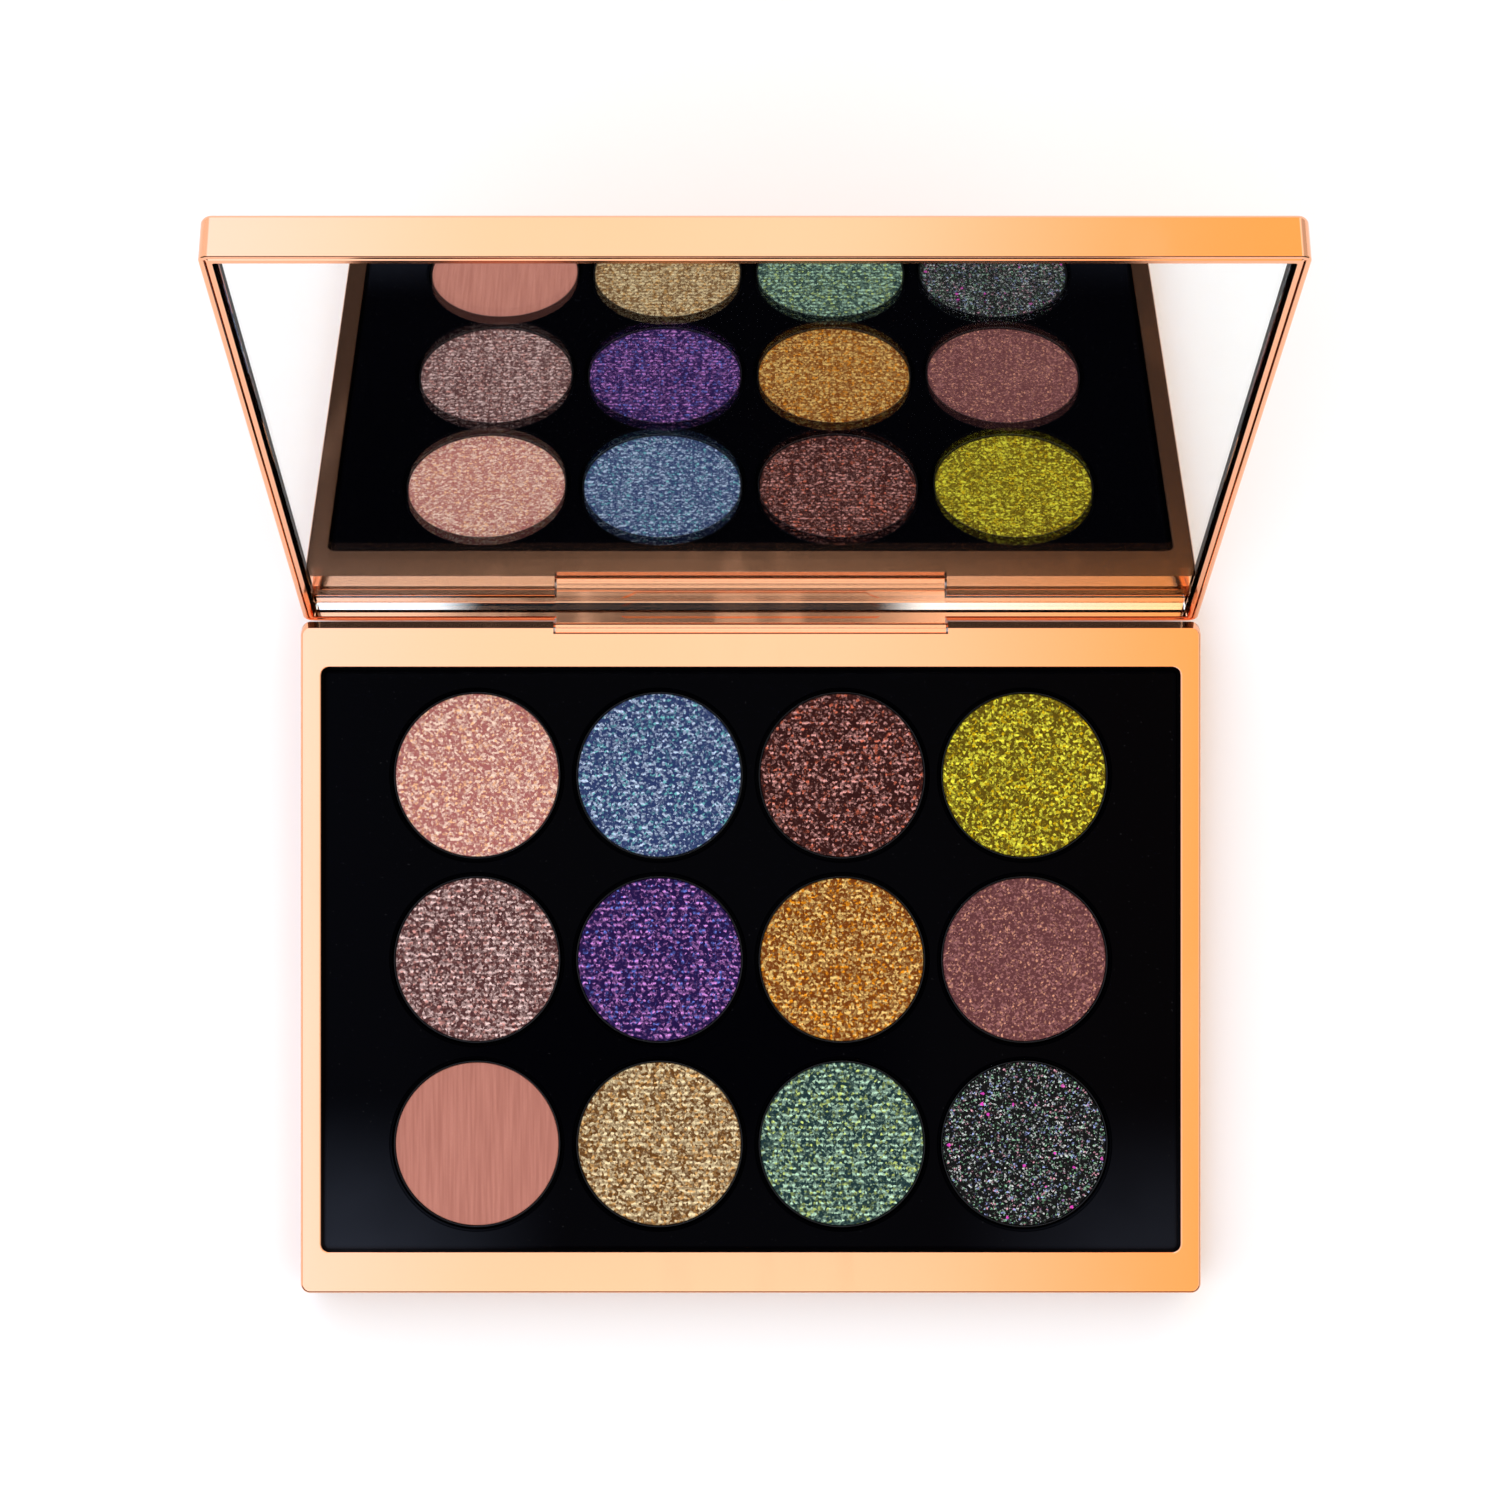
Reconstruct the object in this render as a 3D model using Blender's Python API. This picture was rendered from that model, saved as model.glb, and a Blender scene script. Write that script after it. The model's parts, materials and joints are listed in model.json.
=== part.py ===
"""Twelve-pan eyeshadow palette: a gold compact with a mirrored lid on a rear hinge.

Metres, +Z up. The origin is the middle of the base's underside, the front edge faces -Y and the
hinge is at +Y. The lid stands open against its stop, and its empty turns it about the hinge pins.
Every lid piece is drawn where it lies when the palette is shut.

Run it with: blender --background --python part.py
"""

import math

import bmesh
import bpy
from mathutils import Matrix, Vector

MM = 0.001

GAP = 0.3 * MM  # clearance between any two separate pieces
PAST = 1.0 * MM  # how far a cutter runs past the face that it opens

# Powder pans, in columns along X and rows along Y.
COLUMNS = 4
ROWS = 3
PAN_DIAMETER = 26.0 * MM
PAN_HEIGHT = 3.2 * MM
PAN_SHEET = 0.25 * MM
PAN_GAP_X = 2.4 * MM
PAN_GAP_Y = 2.7 * MM
PAN_DROP = 0.25 * MM  # pan rim below the tray's face
POWDER_DROP = 0.15 * MM  # powder below the pan rim
POWDER_ROUND = 0.3 * MM
GLUE_DIAMETER = 14.0 * MM
GLUE_THICKNESS = 0.2 * MM

# Glossy tray that holds the pans.
TRAY_MARGIN_X = 11.2 * MM  # outer pan to the edge of the frame's opening
TRAY_MARGIN_Y = 3.75 * MM
TRAY_DROP = 0.4 * MM  # tray face below the frame's top
TRAY_FLANGE = 1.0 * MM  # step that catches under the deck
TRAY_FLANGE_THICKNESS = 1.0 * MM
TRAY_EDGE = 0.4 * MM
WELL_WALL = 0.8 * MM
WELL_FLOOR = 0.9 * MM

# Gold base: an upper frame and a bottom plate.
BASE_HEIGHT = 10.5 * MM
RIM_SIDE = 3.2 * MM
RIM_FRONT = 6.4 * MM
RIM_REAR = 7.2 * MM
CORNER_RADIUS = 1.5 * MM
OPENING_RADIUS = 1.3 * MM
WALL = 1.6 * MM
DECK = 1.5 * MM
FRAME_EDGE = 0.45 * MM  # rounding round the top of the frame
FRAME_REAR_BEVEL = 1.1 * MM  # flat bevel along the rear, where the lid swings past
BOTTOM_THICKNESS = 1.7 * MM
BOTTOM_CHAMFER = 0.5 * MM
TONGUE_HEIGHT = 1.1 * MM
TONGUE_THICKNESS = 1.2 * MM
RIB_THICKNESS = 1.2 * MM
LABEL_WIDTH = 70.0 * MM
LABEL_DEPTH = 30.0 * MM
LABEL_THICKNESS = 0.15 * MM
LABEL_INSET = 0.1 * MM  # label above the plane that the palette stands on
LABEL_RADIUS = 2.0 * MM
LABEL_FORWARD = 24.0 * MM  # label centre in front of the middle, which stays flat

# Magnets that keep the lid shut.
MAGNET_LENGTH = 10.0 * MM
MAGNET_DEPTH = 3.0 * MM
BASE_MAGNET_THICKNESS = 2.0 * MM
MAGNET_OFFSET_X = 38.0 * MM

# Lid: an outer cover, and inside it the frame that holds the mirror and carries the knuckle.
COVER_WALL = 0.8 * MM
COVER_PLATE = 1.3 * MM
FRAME_LIP = 0.6 * MM
FRAME_WEB = 1.1 * MM  # web behind the mirror, as thick as the lid's magnets
LID_EDGE = 1.0 * MM
LID_RIM_EDGE = 0.3 * MM
RECESS_RADIUS = 0.3 * MM
MIRROR_DROP = 0.9 * MM
MIRROR_THICKNESS = 2.0 * MM
MIRROR_BEVEL = 0.2 * MM
TAPE_THICKNESS = 0.2 * MM
TAPE_INSET = 2.0 * MM

# Hinge: a knuckle on the lid turns on two pins held in the base's rear wall.
OPEN_ANGLE = math.radians(111.7)
AXIS_DROP = 2.1 * MM  # from the base's top face
KNUCKLE_WIDTH = 60.8 * MM
KNUCKLE_ROOT = 1.2 * MM  # height of the knuckle's root inside the lid
BARREL_RADIUS = 1.3 * MM
BARREL_INSET = 0.1 * MM  # barrel in front of the base's rear face
HOUSING_WALL = 1.1 * MM
EAR_LENGTH = 8.5 * MM
PIN_DIAMETER = 1.2 * MM
PIN_LENGTH = 14.0 * MM
PIN_CLEARANCE = 0.06 * MM
POCKET_WIDE = 40.5 * MM
POCKET_NARROW = 36.0 * MM
POCKET_DEPTH = 0.35 * MM
POCKET_HEIGHT = 1.1 * MM

# Facets.
ROUND_STEPS = 32
PIN_STEPS = 16
CORNER_STEPS = 6
EDGE_STEPS = 4
BARREL_STEPS = 12
WELD = 0.001 * MM  # points closer than this are one point
SHARP_ANGLE = math.radians(35.0)  # steeper edges are shaded sharp

# Sizes that follow from the ones above.
PITCH_X = PAN_DIAMETER + PAN_GAP_X
PITCH_Y = PAN_DIAMETER + PAN_GAP_Y
OPENING_WIDTH = (COLUMNS - 1) * PITCH_X + PAN_DIAMETER + 2 * TRAY_MARGIN_X
OPENING_DEPTH = (ROWS - 1) * PITCH_Y + PAN_DIAMETER + 2 * TRAY_MARGIN_Y
BASE_WIDTH = OPENING_WIDTH + 2 * RIM_SIDE
BASE_DEPTH = OPENING_DEPTH + RIM_FRONT + RIM_REAR
REAR = BASE_DEPTH / 2
FRONT = -BASE_DEPTH / 2
OPENING_Y = (RIM_FRONT - RIM_REAR) / 2
DECK_UNDER = BASE_HEIGHT - DECK
FRAME_FOOT = BOTTOM_THICKNESS + GAP
TRAY_TOP = BASE_HEIGHT - TRAY_DROP
FLANGE_TOP = DECK_UNDER - GAP
FLANGE_UNDER = FLANGE_TOP - TRAY_FLANGE_THICKNESS
PAN_TOP = TRAY_TOP - PAN_DROP
PAN_UNDER = PAN_TOP - PAN_HEIGHT
WELL_RADIUS = PAN_DIAMETER / 2 + GAP
WELL_TOP_OF_FLOOR = PAN_UNDER - GLUE_THICKNESS - 2 * GAP
WELL_UNDER = WELL_TOP_OF_FLOOR - WELL_FLOOR
RIM = COVER_WALL + GAP + FRAME_LIP
AXIS_Y = REAR - BARREL_INSET - BARREL_RADIUS
AXIS_Z = BASE_HEIGHT - AXIS_DROP
ARM_INNER = REAR - RIM
ARM_OUTER = AXIS_Y + BARREL_RADIUS
BED_RADIUS = BARREL_RADIUS + GAP
HOUSING_REACH = BED_RADIUS + HOUSING_WALL
NOTCH_WIDTH = KNUCKLE_WIDTH + 2 * GAP
BORE_RADIUS = PIN_DIAMETER / 2 + PIN_CLEARANCE
MAGNET_Y = FRONT + RIM + GAP + MAGNET_DEPTH / 2
BASE_MAGNET_FOOT = DECK_UNDER - GAP - BASE_MAGNET_THICKNESS
LID_FOOT = BASE_HEIGHT + GAP
MIRROR_FACE = LID_FOOT + MIRROR_DROP
TAPE_FACE = MIRROR_FACE + MIRROR_THICKNESS + GAP
WEB_FACE = TAPE_FACE + TAPE_THICKNESS + GAP
WEB_BACK = WEB_FACE + FRAME_WEB
PLATE_FACE = WEB_BACK + GAP
LID_TOP = PLATE_FACE + COVER_PLATE
FRAME_WIDTH = BASE_WIDTH - 2 * (COVER_WALL + GAP)
FRAME_DEPTH = BASE_DEPTH - 2 * (COVER_WALL + GAP)
MIRROR_WIDTH = BASE_WIDTH - 2 * (RIM + GAP)
MIRROR_DEPTH = BASE_DEPTH - 2 * (RIM + GAP)

POWDER_COLOURS = {
    "rose_gold": (0.62, 0.27, 0.25),
    "steel_blue": (0.12, 0.17, 0.36),
    "cocoa": (0.10, 0.04, 0.04),
    "chartreuse": (0.36, 0.33, 0.02),
    "mauve_taupe": (0.22, 0.12, 0.12),
    "violet": (0.08, 0.03, 0.27),
    "amber": (0.50, 0.22, 0.02),
    "dusty_plum": (0.19, 0.07, 0.08),
    "terracotta": (0.58, 0.24, 0.18),
    "antique_gold": (0.48, 0.31, 0.13),
    "sea_green": (0.11, 0.23, 0.20),
    "night_glitter": (0.02, 0.02, 0.02),
}


def clear_scene():
    """Removes whatever the file opened with."""
    for obj in list(bpy.data.objects):
        bpy.data.objects.remove(obj)


def material(name, colour, roughness, metallic=0.0):
    """A Principled material, made once and then shared."""
    made = bpy.data.materials.get(name)
    if made is None:
        made = bpy.data.materials.new(name)
        made.use_nodes = True
        shader = made.node_tree.nodes["Principled BSDF"]
        shader.inputs["Base Color"].default_value = (*colour, 1.0)
        shader.inputs["Roughness"].default_value = roughness
        shader.inputs["Metallic"].default_value = metallic
    return made


def gold():
    return material("champagne_gold", (0.90, 0.62, 0.36), 0.28, 1.0)


def black_plastic():
    return material("black_gloss", (0.006, 0.006, 0.008), 0.08)


def steel():
    return material("bright_steel", (0.62, 0.62, 0.64), 0.3, 1.0)


def dark_tin():
    return material("pan_tinplate", (0.027, 0.028, 0.032), 0.34, 1.0)


def place(name, bm, finish, parent=None):
    """Turns a bmesh into a named object, with its faces pointing out."""
    bmesh.ops.recalc_face_normals(bm, faces=bm.faces)
    mesh = bpy.data.meshes.new(name)
    bm.to_mesh(mesh)
    bm.free()
    mesh.materials.append(finish)
    mesh.shade_smooth()
    mesh.set_sharp_from_angle(angle=SHARP_ANGLE)
    obj = bpy.data.objects.new(name, mesh)
    bpy.context.scene.collection.objects.link(obj)
    if parent is not None:
        obj.parent = parent
        obj.matrix_parent_inverse = Matrix.Translation(-parent.location)
    return obj


def combine(target, name, bm, operation, overlapping=False):
    """Adds a Boolean to target, with bm as its helper; overlapping if bm's own bodies may meet."""
    helper = place(name, bm, target.data.materials[0], target.parent)
    helper.hide_render = True
    helper.display_type = "WIRE"
    modifier = target.modifiers.new(name, "BOOLEAN")
    modifier.operation = operation
    modifier.use_self = overlapping
    modifier.object = helper


def cut(target, name, bm):
    combine(target, name, bm, "DIFFERENCE")


def join(target, name, bm, overlapping=False):
    combine(target, name, bm, "UNION", overlapping)


def outline(width, depth, radius, centre_y=0.0):
    """Points of a rectangle with round corners, anticlockwise."""
    points = []
    for quarter in range(4):
        sign_x = (1, -1, -1, 1)[quarter]
        sign_y = (1, 1, -1, -1)[quarter]
        middle = (sign_x * (width / 2 - radius), sign_y * (depth / 2 - radius))
        for step in range(CORNER_STEPS + 1):
            turn = math.pi / 2 * (quarter + step / CORNER_STEPS)
            points.append(
                (
                    middle[0] + radius * math.cos(turn),
                    centre_y + middle[1] + radius * math.sin(turn),
                )
            )
    return points


def stack(levels, bm=None):
    """A closed body through a list of (outline, height), each outline with as many points."""
    bm = bm or bmesh.new()
    rings = [[bm.verts.new((x, y, z)) for x, y in points] for points, z in levels]
    for lower, upper in zip(rings, rings[1:]):
        for i in range(len(lower)):
            j = (i + 1) % len(lower)
            bm.faces.new((lower[i], lower[j], upper[j], upper[i]))
    bm.faces.new(rings[0][::-1])
    bm.faces.new(rings[-1])
    return bm


def box(low, high, bm=None):
    """A box between two corners."""
    bm = bm or bmesh.new()
    centre = (Vector(low) + Vector(high)) / 2
    size = Vector(high) - Vector(low)
    matrix = Matrix.Translation(centre) @ Matrix.Diagonal((*size, 1.0))
    bmesh.ops.create_cube(bm, size=1.0, matrix=matrix)
    return bm


def turned(profile, steps):
    """A body turned about Z from (radius, height) points that start and end on the axis."""
    bm = bmesh.new()
    points = [bm.verts.new((radius, 0.0, height)) for radius, height in profile]
    edges = [bm.edges.new(pair) for pair in zip(points, points[1:])]
    bmesh.ops.spin(
        bm,
        geom=points + edges,
        cent=(0, 0, 0),
        axis=(0, 0, 1),
        angle=2 * math.pi,
        steps=steps,
    )
    bmesh.ops.remove_doubles(bm, verts=bm.verts, dist=WELD)
    return bm


def disc(radius, low, high, steps, centre=(0.0, 0.0), bm=None):
    """An upright cylinder."""
    bm = bm or bmesh.new()
    matrix = Matrix.Translation((centre[0], centre[1], (low + high) / 2))
    bmesh.ops.create_cone(
        bm,
        cap_ends=True,
        segments=steps,
        radius1=radius,
        radius2=radius,
        depth=high - low,
        matrix=matrix,
    )
    return bm


def rod(radius, start_x, end_x, bm=None):
    """A cylinder along the hinge axis."""
    bm = bm or bmesh.new()
    matrix = Matrix.Translation(((start_x + end_x) / 2, AXIS_Y, AXIS_Z)) @ Matrix.Rotation(
        math.pi / 2, 4, "Y"
    )
    bmesh.ops.create_cone(
        bm,
        cap_ends=True,
        segments=PIN_STEPS,
        radius1=radius,
        radius2=radius,
        depth=end_x - start_x,
        matrix=matrix,
    )
    return bm


def extrusion(profile, half_width):
    """A (y, z) profile carried along X, the same distance each way."""
    bm = bmesh.new()
    ends = [
        [bm.verts.new((x, y, z)) for y, z in profile] for x in (-half_width, half_width)
    ]
    for i in range(len(profile)):
        j = (i + 1) % len(profile)
        bm.faces.new((ends[0][i], ends[0][j], ends[1][j], ends[1][i]))
    bm.faces.new(ends[0])
    bm.faces.new(ends[1][::-1])
    return bm


def rounding(radius, below):
    """How far a rounded edge has drawn in at a height that much below its top."""
    if below >= radius:
        return 0.0
    rise = radius - below
    return radius - math.sqrt(radius * radius - rise * rise)


def edge_heights(radius):
    """Depths below the top at which a rounded edge gets a ring of points, deepest first."""
    turns = [math.pi / 2 * step / EDGE_STEPS for step in range(EDGE_STEPS + 1)]
    return [radius * (1 - math.sin(turn)) for turn in turns]


def row_middle(row):
    """Where a row of pans lies along Y, with row 0 at the rear."""
    return OPENING_Y + ((ROWS - 1) / 2 - row) * PITCH_Y


def pan_centres():
    """(column, row, x, y) of each pan, rear row first."""
    for row in range(ROWS):
        for column in range(COLUMNS):
            x = (column - (COLUMNS - 1) / 2) * PITCH_X
            yield column, row, x, row_middle(row)


def knuckle_arc(radius, start, end):
    """(y, z) points of an arc about the hinge axis, in degrees from +Y, either way round."""
    turns = [
        math.radians(start + (end - start) * step / BARREL_STEPS)
        for step in range(BARREL_STEPS + 1)
    ]
    return [(AXIS_Y + radius * math.cos(t), AXIS_Z + radius * math.sin(t)) for t in turns]


def base_frame():
    """Upper half of the base: walls, the deck round the tray, and the hinge housing."""

    def footprint(below_top):
        side = rounding(FRAME_EDGE, below_top)
        rear = max(FRAME_REAR_BEVEL - below_top, 0.0)
        return outline(
            BASE_WIDTH - 2 * side,
            BASE_DEPTH - side - rear,
            CORNER_RADIUS - side,
            (side - rear) / 2,
        )

    depths = sorted({FRAME_REAR_BEVEL, *edge_heights(FRAME_EDGE)}, reverse=True)
    levels = [(footprint(BASE_HEIGHT), FRAME_FOOT)]
    levels += [(footprint(depth), BASE_HEIGHT - depth) for depth in depths]
    frame = place("base_frame", stack(levels), gold())

    cavity = outline(BASE_WIDTH - 2 * WALL, BASE_DEPTH - 2 * WALL, CORNER_RADIUS / 2)
    opening = outline(OPENING_WIDTH, OPENING_DEPTH, OPENING_RADIUS, OPENING_Y)
    hollow = [
        (cavity, FRAME_FOOT - PAST),
        (cavity, DECK_UNDER),
        (opening, DECK_UNDER),
        (opening, BASE_HEIGHT + PAST),
    ]
    cut(frame, "frame_hollow", stack(hollow))

    housing_half = NOTCH_WIDTH / 2 + EAR_LENGTH
    housing = box(
        (-housing_half, AXIS_Y - HOUSING_REACH, AXIS_Z - HOUSING_REACH),
        (housing_half, REAR - WALL / 2, BASE_HEIGHT - DECK / 2),
    )
    join(frame, "hinge_housing", housing)
    cut(frame, "knuckle_notch", extrusion(notch_profile(), NOTCH_WIDTH / 2))
    cut(frame, "ear_bores", rod(BORE_RADIUS, -housing_half - PAST, housing_half + PAST))
    return frame


def notch_profile():
    """Room for the knuckle: a slot in the deck, a round bed, and the sill that stops the lid."""
    slot_front = ARM_INNER - GAP
    lean = OPEN_ANGLE - math.pi / 2
    bed_start = math.degrees(math.acos((slot_front - AXIS_Y) / BED_RADIUS))
    bed = knuckle_arc(BED_RADIUS, bed_start, 270.0 - math.degrees(lean))
    # The open knuckle's outer face slopes down by the lid's lean, and the sill runs along it.
    behind = REAR + PAST
    sill_end = AXIS_Z - BED_RADIUS / math.cos(lean) - (behind - AXIS_Y) * math.tan(lean)
    return [
        (slot_front, BASE_HEIGHT + PAST),
        *bed,
        (behind, sill_end),
        (behind, BASE_HEIGHT + PAST),
    ]


def base_bottom():
    """Plate that closes the base from below, with a locating tongue, tray ribs and magnet posts."""
    chamfered = outline(
        BASE_WIDTH - 2 * BOTTOM_CHAMFER,
        BASE_DEPTH - 2 * BOTTOM_CHAMFER,
        CORNER_RADIUS - BOTTOM_CHAMFER,
    )
    whole = outline(BASE_WIDTH, BASE_DEPTH, CORNER_RADIUS)
    plate = place(
        "base_bottom",
        stack([(chamfered, 0.0), (whole, BOTTOM_CHAMFER), (whole, BOTTOM_THICKNESS)]),
        gold(),
    )

    # The tongue stands inside the frame's walls and leaves the hinge housing free.
    sunk = BOTTOM_THICKNESS - BOTTOM_CHAMFER
    tongue_top = BOTTOM_THICKNESS + TONGUE_HEIGHT
    side = BASE_WIDTH / 2 - WALL - GAP
    front = FRONT + WALL + GAP
    rear = AXIS_Y - HOUSING_REACH - GAP
    tongue = box((-side, front, sunk), (side, rear, tongue_top))
    join(plate, "tongue_block", tongue)
    inside = box(
        (-side + TONGUE_THICKNESS, front + TONGUE_THICKNESS, BOTTOM_THICKNESS),
        (side - TONGUE_THICKNESS, rear - TONGUE_THICKNESS, tongue_top + PAST),
    )
    cut(plate, "tongue_inside", inside)

    ribs = bmesh.new()
    rib_half = (COLUMNS - 1) / 2 * PITCH_X
    for row in range(ROWS):
        y = row_middle(row)
        box(
            (-rib_half, y - RIB_THICKNESS / 2, sunk),
            (rib_half, y + RIB_THICKNESS / 2, WELL_UNDER - GAP),
            ribs,
        )
    join(plate, "tray_ribs", ribs)

    posts = bmesh.new()
    for x in (-MAGNET_OFFSET_X, MAGNET_OFFSET_X):
        box(
            (x - MAGNET_LENGTH / 2, front, sunk),
            (x + MAGNET_LENGTH / 2, MAGNET_Y + MAGNET_DEPTH / 2, BASE_MAGNET_FOOT - GAP),
            posts,
        )
    join(plate, "magnet_posts", posts)

    recess = outline(
        LABEL_WIDTH + 2 * GAP, LABEL_DEPTH + 2 * GAP, LABEL_RADIUS + GAP, -LABEL_FORWARD
    )
    recess_top = LABEL_INSET + LABEL_THICKNESS + GAP
    cut(plate, "label_recess", stack([(recess, -PAST), (recess, recess_top)]))
    return plate


def underside_label():
    """Blank label, sunk in the underside so that the plate takes the weight."""
    shape = outline(LABEL_WIDTH, LABEL_DEPTH, LABEL_RADIUS, -LABEL_FORWARD)
    finish = material("label_white", (0.80, 0.79, 0.76), 0.6)
    levels = [(shape, LABEL_INSET), (shape, LABEL_INSET + LABEL_THICKNESS)]
    place("underside_label", stack(levels), finish)


def pan_tray():
    """Black tray: a face plate with a flange, and a cup under each pan."""
    face = outline(
        OPENING_WIDTH - 2 * GAP, OPENING_DEPTH - 2 * GAP, OPENING_RADIUS - GAP, OPENING_Y
    )
    eased = outline(
        OPENING_WIDTH - 2 * GAP - 2 * TRAY_EDGE,
        OPENING_DEPTH - 2 * GAP - 2 * TRAY_EDGE,
        OPENING_RADIUS - GAP - TRAY_EDGE,
        OPENING_Y,
    )
    flange = outline(
        OPENING_WIDTH + 2 * TRAY_FLANGE,
        OPENING_DEPTH + 2 * TRAY_FLANGE,
        OPENING_RADIUS,
        OPENING_Y,
    )
    levels = [
        (flange, FLANGE_UNDER),
        (flange, FLANGE_TOP),
        (face, FLANGE_TOP),
        (face, TRAY_TOP - TRAY_EDGE),
        (eased, TRAY_TOP),
    ]
    tray = place("pan_tray", stack(levels), black_plastic())

    cups = bmesh.new()
    wells = bmesh.new()
    plate_middle = (FLANGE_UNDER + FLANGE_TOP) / 2
    for _, _, x, y in pan_centres():
        disc(WELL_RADIUS + WELL_WALL, WELL_UNDER, plate_middle, ROUND_STEPS, (x, y), cups)
        disc(WELL_RADIUS, WELL_TOP_OF_FLOOR, TRAY_TOP + PAST, ROUND_STEPS, (x, y), wells)
    # Neighbouring cups run together where their walls are thicker than the space between them.
    join(tray, "well_cups", cups, overlapping=True)
    cut(tray, "pan_wells", wells)


def pans_and_powders():
    """For each well a glue dot, a thin metal pan and the pressed powder in it."""
    outer = PAN_DIAMETER / 2
    inner = outer - PAN_SHEET
    pan_profile = [
        (0.0, 0.0),
        (outer, 0.0),
        (outer, PAN_HEIGHT),
        (inner, PAN_HEIGHT),
        (inner, PAN_SHEET),
        (0.0, PAN_SHEET),
    ]
    cake = inner - GAP
    cake_foot = PAN_SHEET + GAP
    cake_top = PAN_HEIGHT - POWDER_DROP
    powder_profile = [
        (0.0, cake_foot),
        (cake, cake_foot),
        (cake, cake_top - POWDER_ROUND),
        (cake - POWDER_ROUND, cake_top),
        (0.0, cake_top),
    ]
    glue_finish = material("clear_glue", (0.75, 0.70, 0.58), 0.5)
    names = list(POWDER_COLOURS)
    for column, row, x, y in pan_centres():
        name = names[(row * COLUMNS + column) % len(names)]
        place_label = f"r{row + 1}c{column + 1}"
        glue = disc(GLUE_DIAMETER / 2, 0.0, GLUE_THICKNESS, PIN_STEPS)
        dot = place(f"glue_dot_{place_label}", glue, glue_finish)
        dot.location = (x, y, WELL_TOP_OF_FLOOR + GAP)
        pan = place(f"pan_{place_label}", turned(pan_profile, ROUND_STEPS), dark_tin())
        pan.location = (x, y, PAN_UNDER)
        finish = material(name, POWDER_COLOURS[name], 0.5)
        powder = place(f"powder_{name}", turned(powder_profile, ROUND_STEPS), finish)
        powder.location = (x, y, PAN_UNDER)


def magnet(name, x, low, thickness, parent=None):
    """A block magnet, lengthwise along the front edge."""
    bm = box(
        (x - MAGNET_LENGTH / 2, MAGNET_Y - MAGNET_DEPTH / 2, low),
        (x + MAGNET_LENGTH / 2, MAGNET_Y + MAGNET_DEPTH / 2, low + thickness),
    )
    place(name, bm, steel(), parent)


def hinge_pin(name, side):
    """A steel pin, half in an ear of the base and half in the knuckle."""
    middle = side * NOTCH_WIDTH / 2
    bm = rod(PIN_DIAMETER / 2, middle - PIN_LENGTH / 2, middle + PIN_LENGTH / 2)
    place(name, bm, steel())


def lid_turn():
    """Empty on the hinge axis, which holds the lid open."""
    empty = bpy.data.objects.new("lid_turn", None)
    bpy.context.scene.collection.objects.link(empty)
    empty.location = (0.0, AXIS_Y, AXIS_Z)
    empty.rotation_euler = (-OPEN_ANGLE, 0.0, 0.0)
    return empty


def knuckle_profile():
    """Arm down from the lid's frame, ending in the round barrel."""
    arm_top = LID_FOOT + KNUCKLE_ROOT
    inner_turn = math.degrees(math.acos((ARM_INNER - AXIS_Y) / BARREL_RADIUS))
    barrel = knuckle_arc(BARREL_RADIUS, 0.0, inner_turn - 360.0)
    return [(ARM_OUTER, arm_top), *barrel, (ARM_INNER, arm_top)]


def lid_cover(turn):
    """Gold outer shell of the lid: a plate with a wall round it, open for the knuckle."""

    def footprint(draw_in):
        return outline(
            BASE_WIDTH - 2 * draw_in, BASE_DEPTH - 2 * draw_in, CORNER_RADIUS - draw_in
        )

    levels = [
        (footprint(rounding(LID_RIM_EDGE, height)), LID_FOOT + height)
        for height in reversed(edge_heights(LID_RIM_EDGE))
    ]
    levels += [
        (footprint(rounding(LID_EDGE, depth)), LID_TOP - depth)
        for depth in edge_heights(LID_EDGE)
    ]
    cover = place("lid_cover", stack(levels), gold(), turn)
    inside = outline(
        BASE_WIDTH - 2 * COVER_WALL, BASE_DEPTH - 2 * COVER_WALL, CORNER_RADIUS - COVER_WALL
    )
    cut(cover, "frame_space", stack([(inside, LID_FOOT - PAST), (inside, PLATE_FACE)]))
    knuckle_room = box(
        (-NOTCH_WIDTH / 2, REAR - COVER_WALL - PAST, LID_FOOT - PAST),
        (NOTCH_WIDTH / 2, REAR + PAST, LID_FOOT + KNUCKLE_ROOT + GAP),
    )
    cut(cover, "knuckle_room", knuckle_room)


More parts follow.
